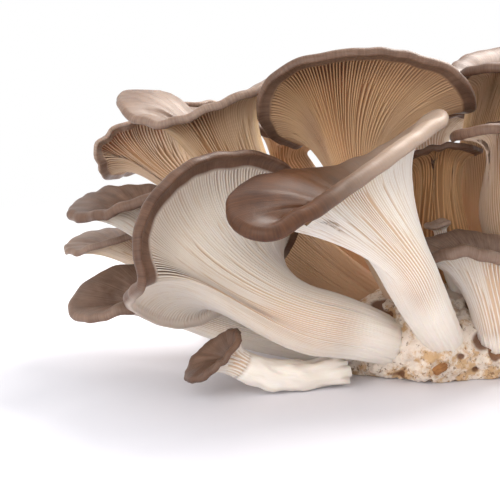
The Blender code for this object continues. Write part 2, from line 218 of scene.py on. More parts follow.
MUSHROOMS = [
    Mushroom(
        "large_front_fan",
        root=(2, -8, 10),
        bend=(-12, -34, 23),
        hub=(-34, -43, 29),
        margin=[
            (-99, -88, 55),
            (-101, -84, 69),
            (-96, -74, 82),
            (-82, -58, 93),
            (-65, -44, 95),
            (-49, -34, 89),
            (-42, -24, 76),
            (-46, -16, 56),
            (-63, -20, 37),
            (-82, -28, 27),
            (-98, -42, 31),
            (-106, -62, 41),
            (-103, -78, 48),
        ],
        root_radius=9.0,
        hub_radius=13.5,
        bead=3.0,
        bare_below=50.0,
        tan=0.25,
        pallor=-0.12,
    ),
    Mushroom(
        "front_trumpet",
        root=(22, -15, 12),
        bend=(11, -40, 30),
        hub=(1, -50, 50),
        margin=[
            (-64, -91, 75),
            (-55, -97, 73),
            (-43, -93, 78),
            (-28, -83, 86),
            (-14, -70, 94),
            (1, -54, 102),
            (13, -38, 108),
            (13, -24, 108),
            (2, -14, 99),
            (-14, -20, 90),
            (-31, -32, 87),
            (-47, -46, 87),
            (-60, -62, 86),
            (-67, -78, 81),
        ],
        root_radius=8.0,
        hub_radius=11.0,
        bead=3.0,
        pallor=-0.25,
        pale_from=-42.0,
    ),
    Mushroom(
        "upper_left_fan",
        root=(2, 12, 20),
        bend=(-36, 11, 43),
        hub=(-50, 8, 58),
        margin=[
            (-114, -8, 111),
            (-106, -18, 106),
            (-94, -24, 105),
            (-77, -24, 111),
            (-61, -18, 117),
            (-50, -4, 121),
            (-51, 22, 118),
            (-69, 42, 108),
            (-93, 46, 105),
            (-105, 34, 113),
            (-114, 12, 114),
        ],
        root_radius=9.0,
        hub_radius=14.0,
        bead=2.0,
        warmth=0.75,
        pallor=0.35,
        gills_on_stem=0.1,
    ),
    Mushroom(
        "thin_back_left_fan",
        root=(-8, 27, 18),
        bend=(-40, 40, 42),
        hub=(-84, 50, 68),
        margin=[
            (-128, 36, 82),
            (-128, 36, 91),
            (-121, 38, 98),
            (-108, 44, 103),
            (-94, 52, 107),
            (-78, 62, 108),
            (-70, 78, 102),
            (-82, 88, 92),
            (-100, 82, 82),
            (-116, 62, 76),
            (-125, 46, 76),
        ],
        bead=1.4,
        flesh=2.4,
        warmth=0.6,
        pallor=0.6,
        wave=1.2,
    ),
    Mushroom(
        "left_shelf",
        root=(-6, 2, 12.5),
        bend=(-44, 2, 24),
        hub=(-87, -6, 51),
        margin=[
            (-133, -22, 68),
            (-123, -34, 69),
            (-110, -42, 74),
            (-96, -44, 79),
            (-84, -34, 77),
            (-80, -10, 72),
            (-88, 12, 71),
            (-105, 18, 73),
            (-122, 12, 73),
            (-132, -4, 70),
        ],
        bead=2.4,
    ),
    Mushroom(
        "small_left_shelf",
        root=(-8, 17, 9),
        bend=(-52, 20, 22),
        hub=(-99, 24, 39),
        margin=[
            (-141, 18, 46),
            (-133, 8, 48),
            (-122, 4, 52),
            (-111, 5, 55),
            (-100, 12, 55),
            (-95, 28, 52),
            (-104, 44, 51),
            (-120, 50, 50),
            (-135, 44, 49),
            (-141, 32, 47),
        ],
        root_radius=6.0,
        hub_radius=6.0,
        bead=1.7,
        flesh=2.6,
        warmth=0.3,
        pallor=0.3,
    ),
    Mushroom(
        "low_left_scoop",
        root=(-6, -9, 9),
        bend=(-44, -16, 10),
        hub=(-84, -8, 23),
        margin=[
            (-134, -24, 28),
            (-127, -31, 27),
            (-115, -34, 30),
            (-102, -31, 32),
            (-89, -26, 33),
            (-80, -16, 32),
            (-80, -2, 34),
            (-91, 10, 36),
            (-104, 12, 40),
            (-119, 4, 40),
            (-131, -10, 35),
        ],
        root_radius=6.0,
        hub_radius=6.5,
        bead=2.0,
        flesh=3.0,
        pallor=0.15,
    ),
    Mushroom(
        "low_front_hook",
        root=(-23, -31, 7),
        bend=(-52, -43, 4),
        hub=(-65, -47, 13),
        margin=[
            (-65, -50, 25),
            (-68, -43, 25),
            (-75, -40, 20),
            (-82, -41, 14),
            (-85, -46, 9),
            (-84, -53, 8),
            (-79, -59, 10),
            (-72, -60, 16),
            (-66, -57, 22),
        ],
        root_radius=6.0,
        hub_radius=6.0,
        bead=1.5,
        flesh=2.4,
        fuzz=1.0,
        gills_on_stem=1.0,
    ),
    Mushroom(
        "right_front_shelf",
        root=(46, -8, 10),
        bend=(44, -14, 18),
        hub=(42, -17, 26),
        margin=[
            (5, -20, 52),
            (8, -30, 50),
            (14, -36, 53),
            (23, -38, 56),
            (33, -38, 54),
            (46, -36, 51),
            (60, -28, 51),
            (66, -16, 52),
            (58, -7, 53),
            (40, -5, 55),
            (27, -5, 57),
            (14, -8, 54),
        ],
        root_radius=10.0,
        hub_radius=11.0,
        bead=2.6,
        pallor=0.3,
        tan=0.15,
    ),
    Mushroom(
        "upper_right_funnel",
        root=(54, 14, 16),
        bend=(56, 17, 44),
        hub=(52, 12, 64),
        margin=[
            (20, -34, 101),
            (26, -44, 104),
            (35, -48, 105),
            (51, -46, 106),
            (68, -34, 105),
            (81, -10, 105),
            (80, 10, 104),
            (64, 16, 103),
            (47, 8, 102),
            (32, -12, 101),
        ],
        root_radius=10.5,
        hub_radius=14.0,
        warmth=0.5,
        tan=0.2,
    ),
    Mushroom(
        "top_right_funnel",
        root=(46, 34, 20),
        bend=(43, 45, 52),
        hub=(45, 44, 86),
        margin=[
            (26, 20, 120),
            (32, 2, 125),
            (46, -6, 127),
            (64, 0, 126),
            (83, 20, 120),
            (90, 46, 121),
            (84, 68, 127),
            (62, 76, 131),
            (40, 62, 128),
            (28, 40, 122),
        ],
        root_radius=9.0,
        hub_radius=12.0,
        warmth=0.8,
    ),
    Mushroom(
        "top_centre_fan",
        root=(16, 2, 16),
        bend=(-2, -12, 42),
        hub=(-14, -2, 74),
        margin=[
            (-41, 0, 95),
            (-53, -14, 102),
            (-56, -24, 116),
            (-47, -30, 127),
            (-26, -32, 133),
            (-2, -30, 133),
            (19, -24, 126),
            (30, -10, 113),
            (28, 12, 108),
            (13, 32, 108),
            (-7, 36, 110),
            (-23, 27, 107),
            (-34, 13, 99),
        ],
        root_radius=8.5,
        hub_radius=9.5,
        warmth=0.6,
        gills_on_stem=0.1,
        tan=0.8,
    ),
    Mushroom(
        "inner_centre_fan",
        root=(27, 18, 22),
        bend=(25, 19, 36),
        hub=(23, 20, 46),
        margin=[
            (3, 16, 84),
            (9, 5, 90),
            (20, 0, 94),
            (32, 4, 93),
            (38, 16, 90),
            (33, 29, 88),
            (19, 34, 86),
            (7, 28, 84),
        ],
        root_radius=10.0,
        hub_radius=14.0,
        bead=1.4,
        flesh=2.4,
        warmth=1.0,
        gills_on_stem=0.1,
    ),
    spreading("inner_back_fan", (10, 28, 21), 157, 52, 82, 21, 15, 16, 14, -6, warmth=0.8),
    spreading("front_right_fan", (60, -4, 10), -48, 42, 60, 38, 27, 16, 14, 30),
    spreading("large_right_fan", (66, 18, 14), -10, 38, 48, 34, 27, 18, 14, 34),
    spreading("low_right_fan", (71, 5, 9.5), -26, 12, 40, 28, 20, 12, 9, 24),
    spreading("right_back_fan", (66, 34, 12), 30, 32, 48, 34, 24, 16, 12, 30),
    spreading("upper_back_right_fan", (60, 40, 18), 42, 61, 72, 28, 28, 18, 14, 22),
    spreading("low_back_right_fan", (55, 46, 9.5), 60, 11, 28, 24, 22, 12, 9, 22),
    spreading("back_fan", (42, 43, 14), 80, 42, 31, 24, 25, 16, 12, 24),
    spreading("low_back_fan", (23, 42, 9.5), 110, 12, 28, 24, 18, 12, 9, 22),
    spreading("upper_back_fan", (25, 35, 22), 97, 69, 73, 26, 25, 16, 12, 14, hub_radius=10.5),
    spreading("back_left_fan", (7, 35, 13), 131, 33, 48, 32, 24, 13, 12, 28),
    spreading("low_back_left_fan", (-7, 38, 9), 154, 12, 42, 28, 20, 12, 9, 22),
    young("young_centre", (32, 1, 24), 184, 78, 37),
    young("young_front", (58, -20, 10), -80, 52, 17),
    young("young_right", (76, 24, 9), 8, 32, 15),
]


def unit(v):
    return v / np.maximum(np.linalg.norm(v, axis=-1, keepdims=True), 1e-9)


def smooth_step(x, low, high):
    """0 below low, 1 above high and a smooth rise between."""
    t = np.clip((np.asarray(x, float) - low) / (high - low), 0, 1)
    return t * t * (3 - 2 * t)


def closed_curve(points, count, fine=24):
    """count points, evenly spaced, on the smooth closed curve through the given ones, and its length."""
    p = np.array(points, float)
    t = np.linspace(0, 1, fine, endpoint=False)[:, None]
    before, after, beyond = np.roll(p, 1, 0), np.roll(p, -1, 0), np.roll(p, -2, 0)
    spans = [
        0.5
        * (
            2 * p[k]
            + (after[k] - before[k]) * t
            + (2 * before[k] - 5 * p[k] + 4 * after[k] - beyond[k]) * t**2
            + (3 * p[k] - before[k] - 3 * after[k] + beyond[k]) * t**3
        )
        for k in range(len(p))
    ]
    dense = np.concatenate([*spans, p[:1]])
    run = np.concatenate([[0], np.cumsum(np.linalg.norm(np.diff(dense, axis=0), axis=1))])
    at = np.linspace(0, run[-1], count, endpoint=False)
    return np.stack([np.interp(at, run, dense[:, axis]) for axis in range(3)], 1), run[-1]


def turned(vectors, start, end):
    """The vectors after the least turn that carries direction start to direction end."""
    axis = np.cross(start, end)
    crossed = np.cross(axis, vectors)
    return vectors + crossed + np.cross(axis, crossed) / (1 + float(start @ end))


def softened(ring, waves):
    """The closed ring of points without its ripples finer than this many waves round it."""
    spectrum = np.fft.rfft(ring, axis=0)
    order = np.arange(len(spectrum))[:, None]
    return np.fft.irfft(spectrum / (1 + (order / waves) ** 6), len(ring), axis=0)


def ripples(random, count, waves, amount):
    """A seeded, smooth and closed row of count heights, made of these many waves round it."""
    a = np.linspace(0, 2 * np.pi, count, endpoint=False)
    row = np.zeros(count)
    for n in waves:
        row += random.normal() * np.sin(n * a + random.uniform(0, 2 * np.pi)) / math.sqrt(n)
    return amount * row / max(1e-9, np.abs(row).max())


def round_row(row, at):
    """A closed row of numbers or points, read at these shares of the way round."""
    known = np.arange(len(row) + 1) / len(row)
    closed = np.concatenate([row, row[:1]])
    at = np.mod(at, 1.0)
    if closed.ndim == 1:
        return np.interp(at, known, closed)
    return np.stack([np.interp(at, known, closed[:, axis]) for axis in range(3)], 1)


def cap_frame(m, count, random):
    """The margin, the cap's facing direction, the directions round the stem's end and the length round."""
    hub, heading = np.array(m.hub, float), unit(np.array(m.hub, float) - m.bend)
    edge, length = closed_curve(m.margin, count)
    face = unit(np.cross(edge, np.roll(edge, -1, 0)).sum(0))
    if face @ heading < 0:
        edge, face = np.roll(edge[::-1], 1, 0), -face
    ahead = edge.mean(0) - hub
    ahead = unit(ahead - face * (ahead @ face))
    across = np.cross(face, ahead)
    middle = edge.mean(0)
    bearing = np.unwrap(np.arctan2((edge - middle) @ across, (edge - middle) @ ahead))
    even = bearing[0] + np.arange(count) * 2 * math.pi / count
    even += (bearing - even).mean()
    angle = (0.6 * bearing + 0.4 * even)[:, None]
    flat = np.cos(angle) * ahead + np.sin(angle) * across
    edge = edge + face * ripples(random, count, range(5, 22), m.wave)[:, None]
    edge += unit(edge - middle) * ripples(random, count, range(4, 30), m.wave)[:, None]
    return edge, face, turned(flat, face, heading), length


def stem_rings(m, spokes, shares):
    """Rings of the stem, and the directions out of them."""
    root, bend, hub = (np.array(p, float) for p in (m.root, m.bend, m.hub))
    heading = unit(hub - bend)
    rings, outs = [], []
    for t in shares:
        centre = (1 - t) ** 2 * root + 2 * t * (1 - t) * bend + t**2 * hub
        along = unit((1 - t) * (bend - root) + t * (hub - bend))
        radius = m.root_radius + (m.hub_radius - m.root_radius) * t
        out = turned(spokes, heading, along)
        rings.append(centre + radius * out)
        outs.append(out)
    return np.array(rings), np.array(outs)


def underside(m, edge, face, spokes, shares):
    """Rings under the cap from the hub to the margin, and the directions in which they arrive there."""
    hub, heading = np.array(m.hub, float), unit(np.array(m.hub, float) - m.bend)
    start = hub + m.hub_radius * spokes
    tangent = unit(np.roll(edge, -1, 0) - np.roll(edge, 1, 0))
    outward = unit(softened(np.cross(tangent, face), 12))
    span = np.linalg.norm(edge - start, axis=1, keepdims=True)
    settled = np.clip(span / (3 * m.hub_radius), 0, 1)
    arrive = unit(outward * settled + unit(edge - start) * (1 - settled))
    near = start + heading * span * m.flare_start
    far = edge - arrive * span * m.flare_end
    rings = [
        (1 - s) ** 3 * start + 3 * s * (1 - s) ** 2 * near + 3 * s**2 * (1 - s) * far + s**3 * edge
        for s in shares
    ]
    return np.array(rings), arrive


class Skin:
    """Collects the points and triangles of one closed mesh, ring by ring, with what varies over it."""

    def __init__(self):
        self.points, self.facts, self.rows, self.faces, self.maps = [], [], [], [], []
        self.size = 0

    def ring(self, points, height, **facts):
        """Adds a ring, joined to the one before. height is its place in the unrolled map."""
        count = len(points)
        row = (np.arange(count) + self.size, height)
        self.size += count
        self.points.append(points)
        around = 2 * np.pi * np.arange(count) / count
        grain = np.stack([np.cos(around), np.sin(around), np.full(count, height)], 1)
        values = [np.broadcast_to(facts[name], count) for name in FACTS]
        self.facts.append(np.column_stack([grain, *values]))
        if self.rows:
            self.join(self.rows[-1], row)
        self.rows.append(row)

    def join(self, low, high):
        """The faces between two rings. One may have four points for each one of the other."""
        (a, v0), (b, v1) = low, high
        if len(a) == len(b):
            k = np.arange(len(a))
            n = (k + 1) % len(a)
            u0, u1 = k / len(a), (k + 1) / len(a)
            self.add([a[k], a[n], b[n]], [u0, u1, u1], [v0, v0, v1])
            self.add([a[k], b[n], b[k]], [u0, u1, u0], [v0, v1, v1])
            return
        flip = len(a) < len(b)
        (fine, vf), (coarse, vc) = (high, low) if flip else (low, high)
        g, n = len(coarse), len(fine)
        k = np.arange(g)
        f = [fine[(4 * k + i) % n] for i in range(5)]
        uf = [(4 * k + i) / n for i in range(5)]
        c, d, uc, ud = coarse, coarse[(k + 1) % g], k / g, (k + 1) / g
        for corners, places, heights in (
            ((f[0], f[1], c), (uf[0], uf[1], uc), (vf, vf, vc)),
            ((f[1], f[2], c), (uf[1], uf[2], uc), (vf, vf, vc)),
            ((f[2], d, c), (uf[2], ud, uc), (vf, vc, vc)),
            ((f[2], f[3], d), (uf[2], uf[3], ud), (vf, vf, vc)),
            ((f[3], f[4], d), (uf[3], uf[4], ud), (vf, vf, vc)),
        ):
            self.add(corners, places, heights, flip)

    def close(self, tip, height, below=False, **facts):
        """Closes the first ring, below, or the last one with a point."""
        row, v0 = self.rows[0] if below else self.rows[-1]
        values = [float(facts[name]) for name in FACTS]
        self.points.append(np.array([tip]))
        self.facts.append(np.array([[0.0, 0.0, height, *values]]))
        k = np.arange(len(row))
        n = (k + 1) % len(row)
        ends = np.full(len(row), self.size)
        self.size += 1
        middle = (k + 0.5) / len(row)
        places = [k / len(row), (k + 1) / len(row), middle]
        self.add([row[k], row[n], ends], places, [v0, v0, height], below)

    def add(self, corners, places, heights, flip=False):
        """Adds triangles, with their places round the mushroom and their heights for the map."""
        faces = np.stack(corners, 1)
        spots = np.stack([np.stack(np.broadcast_arrays(u, v), 1) for u, v in zip(places, heights)], 1)
        if flip:
            faces, spots = faces[:, ::-1], spots[:, ::-1]
        self.faces.append(faces)
        self.maps.append(spots)

    def made(self, name):
        """The mesh object, from millimetres."""
        mesh = bpy.data.meshes.new(name)
        points = np.concatenate(self.points) * MM
        points[:, 2] = np.maximum(points[:, 2], 0.0)  # nothing dips into the floor
        faces = np.concatenate(self.faces)
        mesh.vertices.add(len(points))
        mesh.vertices.foreach_set("co", points.ravel())
        mesh.loops.add(faces.size)
        mesh.loops.foreach_set("vertex_index", faces.ravel())
        mesh.polygons.add(len(faces))
        mesh.polygons.foreach_set("loop_start", np.arange(0, faces.size, 3))
        layer = mesh.uv_layers.new(name="OFBake")
        layer.data.foreach_set("uv", (0.002 + 0.996 * np.concatenate(self.maps)).ravel())
        facts = np.concatenate(self.facts)
        grain = mesh.attributes.new("grain", "FLOAT_VECTOR", "POINT")
        grain.data.foreach_set("vector", facts[:, :3].ravel())
        for column, fact in enumerate(FACTS, 3):
            held = mesh.attributes.new(fact, "FLOAT", "POINT")
            held.data.foreach_set("value", facts[:, column].copy())
        mesh.update(calc_edges=True)
        mesh.validate()
        mesh.shade_smooth()
        return shown(bpy.data.objects.new(name, mesh))


def shown(piece):
    """Puts a piece in the scene, on the frame's one body."""
    bpy.context.scene.collection.objects.link(piece)
    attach(piece, BODY)
    return piece


def margin_lift(edge, arrive):
    """At each point of the margin, the direction square to the cap, towards its top."""
    along = np.roll(edge, -1, 0) - np.roll(edge, 1, 0)
    return unit(softened(np.cross(arrive, unit(along)), 9))


def to_top(m, spokes, lift, share):
    """From the underside to the top: into the hub's middle there, and square to the cap at the margin."""
    heading = unit(np.array(m.hub, float) - m.bend)
    outer = smooth_step(share, 0.0, 1.0)
    inner = (heading * TOP_RISE - spokes * TOP_INSET) * m.hub_radius
    return inner * (1 - outer) + lift * m.flesh * outer


def kept_inside(m, under, rings):
    """Moves the points of the top's rings that come too near the underside, or pass through it."""
    rows, count = under.shape[:2]
    k = np.arange(count)
    after = (k + 1) % count
    faces = []
    for low in range(0, (rows - 1) * count, count):
        faces += np.stack([k + low, after + low, after + low + count, k + low + count], 1).tolist()
    tree = BVHTree.FromPolygons(under.reshape(-1, 3).tolist(), faces)
    for ring in rings:
        for place in ring:
            near, normal, _, _ = tree.find_nearest(place)
            short = (Vector(place) - near).dot(normal) + LEAST_FLESH * m.flesh
            if short > 0:
                place -= np.array(normal) * short
    return rings


def stem_lump(place):
    """The height of the stem's lumps at a place in mm, large lumps with smaller ones on them."""
    return noise.noise(place * 0.22) + 0.5 * noise.noise(place * 0.55)


def gill_heights(gills, share):
    """How high each gill stands at this share of the way out, from 0 in the valley to 1 at its edge."""
    random = np.random.default_rng(7 + gills)
    order = np.arange(gills)
    starts = np.where(order % 2 == 0, -1.0, random.uniform(*SHORT_GILL_STARTS, gills))
    return smooth_step(share, starts, starts + SHORT_GILL_RISE)


def gill_columns(high, sway, share, edge_half, foot_half):
    """Where the columns of points stand round the mushroom, four to a gill, and how high each is."""
    gills = len(high)
    order = np.arange(gills)
    middle = order + sway[0] + (sway[1] - sway[0]) * share * 1.5
    middle = middle + sway[2] * math.sin(3 * share)
    edge = 0.1 + (edge_half - 0.1) * high
    foot = 0.25 + (foot_half - 0.25) * high
    after, after_foot = np.roll(middle, -1), np.roll(foot, -1)
    after = np.where(order == gills - 1, after + gills, after)
    columns = np.stack([middle - edge, middle + edge, middle + foot, after - after_foot], 1)
    tops = np.stack([high, high, np.zeros(gills), np.zeros(gills)], 1)
    return columns.ravel() / gills, tops.ravel()


class Flesh:
    """One mushroom being made: its measures, and the skin that grows from the root to the cap's top."""

    def __init__(self, m, looks):
        random = np.random.default_rng(sum(map(ord, m.name)))
        self.m, self.looks, self.skin = m, looks, Skin()
        self.edge, self.face, self.spokes, length = cap_frame(m, RING_POINTS, random)
        self.gills = max(10, 4 * round(length / (4 * m.gill_spacing * looks.gill_spacing)))
        self.at = np.arange(self.gills) / self.gills

        open_shares = np.linspace(0, GILLS_OPEN, GILL_RINGS - 7, endpoint=False)
        closing = np.array([-0.03, -GILL_STEP, 0.0, GILL_STEP, 0.03]) + GILL_END
        self.shares = np.concatenate([open_shares, [GILLS_OPEN], closing, [1.0]])
        self.under, self.arrive = self.underside(self.shares)
        self.lift = margin_lift(self.edge, self.arrive)

        self.dents = [ripples(random, RING_POINTS, range(2, 9), 0.5) for _ in range(2)]
        self.creases = [ripples(random, RING_POINTS, range(6, 40), 1.0) for _ in range(4)]
        self.sway = [ripples(random, self.gills, range(3, self.gills // 3), 0.3) for _ in range(3)]
        self.nick = random.uniform(0, 1, self.gills)
        self.rolled = smooth_step(self.edge[:, 2], m.bare_below - 8, m.bare_below + 6)

        stem_length = np.linalg.norm(np.array(m.hub, float) - m.root)
        cap_length = 2.2 * np.linalg.norm(self.edge - self.under[0], axis=1).mean()
        self.stem_part = stem_length / (stem_length + cap_length)

    def underside(self, shares):
        """Rings under this cap, and the directions in which they arrive at the margin."""
        return underside(self.m, self.edge, self.face, self.spokes, shares)

    def top_of(self, ring, share):
        """The ring of the cap's top that lies over this ring of its underside."""
        over = to_top(self.m, self.spokes, self.lift, share)
        raised = softened(ring + over, 5 + 60 * share**2)
        dent = (self.dents[0] * share + self.dents[1] * (1 - share)) * 4 * share * (1 - share)
        return raised + unit(over) * dent[:, None]

    def map_height(self, share):
        """A place in the unrolled map above the stem's part of it."""
        return self.stem_part + (1 - self.stem_part) * share

    def stem(self):
        """The stem and, on its upper part, the gills that run down it."""
        m = self.m
        plain = np.linspace(0, m.gills_on_stem, PLAIN_STEM_RINGS, endpoint=False)
        gilled = np.linspace(m.gills_on_stem, 1, GILLED_STEM_RINGS, endpoint=False)
        shares = np.concatenate([plain, gilled])
        for t, ring, out in zip(shares, *stem_rings(m, self.spokes, shares)):
            k = min(2, int(3 * t))
            creases = self.creases[k] * (1 - 3 * t + k) + self.creases[k + 1] * (3 * t - k)
            swell = ROOT_SWELL * (1 - t) ** 4 + m.fuzz * FUZZ_SWELL * (1 - t**4)
            lumps = np.array([stem_lump(Vector(place)) for place in ring])
            crease_height = STEM_CREASE * m.root_radius * (1 - 0.7 * t)
            ring = ring + out * (crease_height * creases + swell * lumps)[:, None]
            height = self.stem_part * t
            if t < m.gills_on_stem:
                self.skin.ring(round_row(ring, self.at), height, stem=1.0, groove=0.0, skin=0.0, rim=0.0)
            else:
                self.gilled_stem(ring, out, height, float(smooth_step(t, m.gills_on_stem - 0.001, 1.0)))

    def gilled_stem(self, ring, out, height, rise):
        """A ring of the stem with every second gill on it, which stand full at the hub."""
        high = (np.arange(self.gills) % 2 == 0).astype(float)
        columns, tops = gill_columns(high, self.sway, 0.0, EDGE_HALF[0], FOOT_HALF[0])
        sunk = self.looks.gill_depth * HUB_DEPTH * rise * (1 - tops)
        points = round_row(ring, columns) - unit(round_row(out, columns)) * sunk[:, None]
        self.skin.ring(points, height, stem=1 - 0.85 * rise, groove=rise * (1 - tops), skin=0.0, rim=0.0)

    def gill_rings(self):
        """The underside of the cap, with the gaps between its gills cut into the flesh."""
        for share, ring in zip(self.shares, self.under):
            high = gill_heights(self.gills, share)
            near = smooth_step(share, 0.0, 0.55)
            widths = [start + (end - start) * near for start, end in (EDGE_HALF, FOOT_HALF)]
            columns, tops = gill_columns(high, self.sway, share, *widths)
            bare = 1 - round_row(self.rolled, columns)
            fade = 1 - smooth_step(share - 0.06 * bare, GILL_END - 0.03, GILL_END)
            deeper = round_row(self.top_of(ring, share) - ring, columns)
            deepest = self.looks.gill_depth * (HUB_DEPTH + (1 - HUB_DEPTH) * smooth_step(share, 0.0, 0.8))
            deepest = min(deepest, DEEPEST_GAP * self.m.flesh)
            depth = np.minimum(0.62 * np.linalg.norm(deeper, axis=1), deepest) * fade
            worn = WORN_EDGE * np.repeat(self.nick, 4) * fade
            sunk = depth * np.clip(1 - tops + worn * tops, 0, 1)
            self.skin.ring(
                round_row(ring, columns) + unit(deeper) * sunk[:, None],
                self.map_height(0.5 * share),
                stem=0.15 * (1 - smooth_step(share, 0.0, 0.25)),
                groove=(1 - tops) * fade,
                skin=smooth_step(share, GILL_END - GILL_STEP, GILL_END + GILL_STEP) * (1 - bare),
                rim=smooth_step(share, *RIM_SHADE_AND_TINT) * (1 - bare),
            )

    def margin(self):
        """The rolled margin. Where the gills reach the very edge, its lower side has no skin."""
        middle = self.edge + self.lift * (self.m.flesh - self.m.bead)
        for k in range(1, RIM_RINGS):
            a = math.radians(ROLL_START + ROLL_TURN * k / RIM_RINGS)
            ring = middle + self.m.bead * (self.arrive * math.cos(a) + self.lift * math.sin(a))
            bare = (1 - round_row(self.rolled, self.at)) * (1 - smooth_step(k, 2, 4))
            height = self.map_height(0.5 + 0.08 * k / RIM_RINGS)
            self.skin.ring(round_row(ring, self.at), height, stem=0.0, groove=0.0, skin=1 - bare, rim=1.0)

    def top(self):
        """The top of the cap, from the margin into its hollow."""
        shares = np.linspace(1, 0, TOP_RINGS)
        over, _ = self.underside(shares)
        rings = [round_row(self.top_of(ring, share), self.at) for share, ring in zip(shares, over)]
        rings = kept_inside(self.m, self.under[:, ::4], rings)
        for share, ring in zip(shares, rings):
            height = min(self.map_height(0.58 + 0.42 * (1 - share)), 0.985)
            self.skin.ring(ring, height, stem=0.0, groove=0.0, skin=1.0, rim=smooth_step(share, 0.75, 1.0))

    def close(self):
        """Closes the hollow's middle and the root."""
        hub, root = np.array(self.m.hub, float), np.array(self.m.root, float)
        pole = hub + unit(hub - self.m.bend) * TOP_RISE * self.m.hub_radius
        self.skin.close(pole, 1.0, stem=0, groove=0, skin=1, rim=0)
        self.skin.close(root, -0.02, below=True, stem=1, groove=0, skin=0, rim=0)


def mushroom(m, looks):
    """One whole mushroom: stem, gills, rolled margin and cap."""
    flesh = Flesh(m, looks)
    flesh.stem()
    flesh.gill_rings()
    flesh.margin()
    flesh.top()
    flesh.close()
    made = flesh.skin.made(m.name + "_flesh")
    made.data.materials.append(FleshFinish(m, looks).made())
    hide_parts(m.name)


class Shade:
    """One output socket of a material's nodes. Arithmetic on it adds Math nodes."""

    def __init__(self, tree, socket):
        self.tree = tree
        self.socket = socket

    def maths(self, operation, *values):
        node = self.tree.nodes.new("ShaderNodeMath")
        node.operation = operation
        for place, value in zip(node.inputs, values):
            put(self.tree, place, value)
        return Shade(self.tree, node.outputs[0])

    def __add__(self, other):
        return self.maths("ADD", self, other)

    def __radd__(self, other):
        return self.maths("ADD", other, self)

    def __sub__(self, other):
        return self.maths("SUBTRACT", self, other)

    def __rsub__(self, other):
        return self.maths("SUBTRACT", other, self)

    def __mul__(self, other):
        return self.maths("MULTIPLY", self, other)

    def __rmul__(self, other):
        return self.maths("MULTIPLY", other, self)

    def held(self):
        """The value kept between 0 and 1."""
        return self.maths("MAXIMUM", self.maths("MINIMUM", self, 1.0), 0.0)


def put(tree, place, value):
    """Links a socket to place, or sets the place's own value."""
    if isinstance(value, Shade):
        tree.links.new(value.socket, place)
    elif isinstance(value, (tuple, list)) and len(value) == 3 and place.type == "RGBA":
        place.default_value = (*value, 1.0)
    else:
        place.default_value = value


class Finish:
    """A material being made: its nodes, and the shader that they feed."""

    def __init__(self, name, roughness=0.6):
        self.material = bpy.data.materials.new(name)
        self.material.use_nodes = True
        self.tree = self.material.node_tree
        self.shader = self.tree.nodes["Principled BSDF"]
        self.shader.inputs["Roughness"].default_value = roughness

    def node(self, kind, settings=None, output=0, **values):
        """Adds a node with these settings, feeds its sockets and returns one of its outputs."""
        node = self.tree.nodes.new("ShaderNode" + kind)
        for setting, value in (settings or {}).items():
            setattr(node, setting, value)
        for name, value in values.items():
            place = node.inputs[int(name[1:])] if name[0] == "_" else node.inputs[name.replace("_", " ")]
            put(self.tree, place, value)
        return Shade(self.tree, node.outputs[output])

    def fact(self, name, output="Fac"):
        """What the skin's points say of themselves."""
        return self.node("Attribute", {"attribute_name": name}, output)

    def noise(self, where, scale, detail=3.0, rough=0.55):
        """A random pattern, mostly between 0.3 and 0.7."""
        values = {"Vector": where, "Scale": scale, "Detail": detail, "Roughness": rough}
        return self.node("TexNoise", None, "Fac", **values)

    def stretched(self, where, amounts):
        """A place with each of its parts multiplied, for patterns that are finer along one axis."""
        return self.node("VectorMath", {"operation": "MULTIPLY"}, 0, _0=where, _1=amounts)

    def step(self, value, low, high):
        """0 below low, 1 above high and a smooth rise between."""
        settings = {"interpolation_type": "SMOOTHSTEP"}
        return self.node("MapRange", settings, 0, Value=value, From_Min=low, From_Max=high)

    def mix(self, part, a, b):
        """A colour part of the way from a to b, where part varies over the surface."""
        settings = {"data_type": "RGBA", "clamp_factor": True}
        return self.node("Mix", settings, 2, _0=part, _6=a, _7=b)

    def feed(self, **values):
        """Links or sets the shader's sockets."""
        for name, value in values.items():
            put(self.tree, self.shader.inputs[name.replace("_", " ")], value)

    def bump(self, height, distance, strength=1.0):
        """Bends the shader's normal by this height, whose full range is distance metres."""
        values = {"Strength": strength, "Distance": distance, "Height": height}
        self.feed(Normal=self.node("Bump", None, 0, **values))

    def here(self):
        """The place on the piece, in metres."""
        return self.node("TexCoord", None, "Object")

    def part(self, vector, axis):
        """The part of a vector along an axis: 0, 1 or 2 for X, Y or Z."""
        return self.node("SeparateXYZ", None, axis, Vector=vector)


def mixed(a, b, part):
    """A colour part of the way from a to b."""
    return tuple(x + (y - x) * part for x, y in zip(a, b, strict=True))


